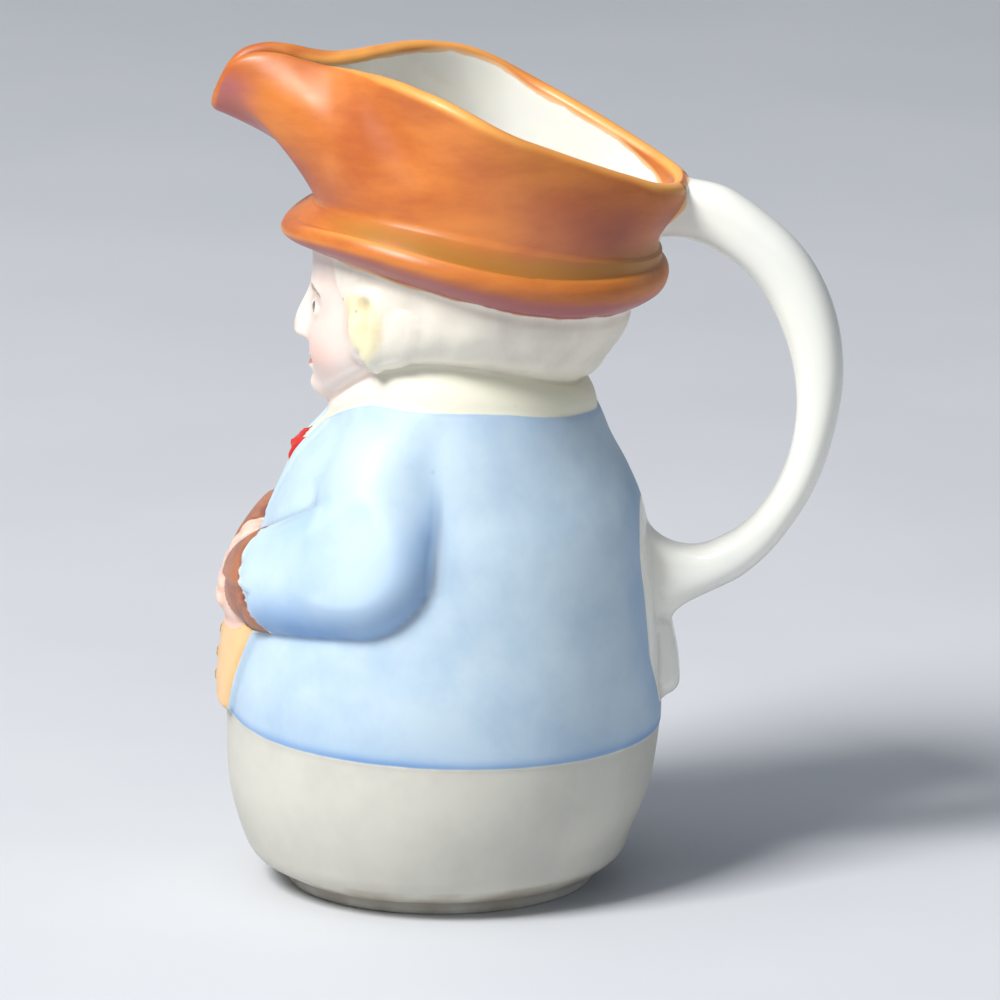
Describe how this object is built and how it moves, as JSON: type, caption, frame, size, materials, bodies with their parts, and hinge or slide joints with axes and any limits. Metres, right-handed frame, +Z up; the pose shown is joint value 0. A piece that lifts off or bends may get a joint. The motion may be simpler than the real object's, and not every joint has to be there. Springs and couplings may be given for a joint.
{
  "type": "toby jug",
  "caption": "Hollow porcelain cream jug shaped as a stout man in a brimmed hat, whose open crown is the mouth and has a narrow pouring lip at the front, with a loop handle at the back.",
  "frame": {"origin": "bottom of the jug, midway between the tip of the pouring lip and the back of the handle, on the mirror plane", "axes": "+Z up, the man and the pouring lip face -Y, the handle is at +Y, +X is the man's left"},
  "size_m": [0.0778, 0.1102, 0.1478],
  "materials": {
    "porcelain": "part glazed, part matt painted bisque"
  },
  "bodies": {
    "root": {"toby_jug": "porcelain"}
  },
  "joints": []
}
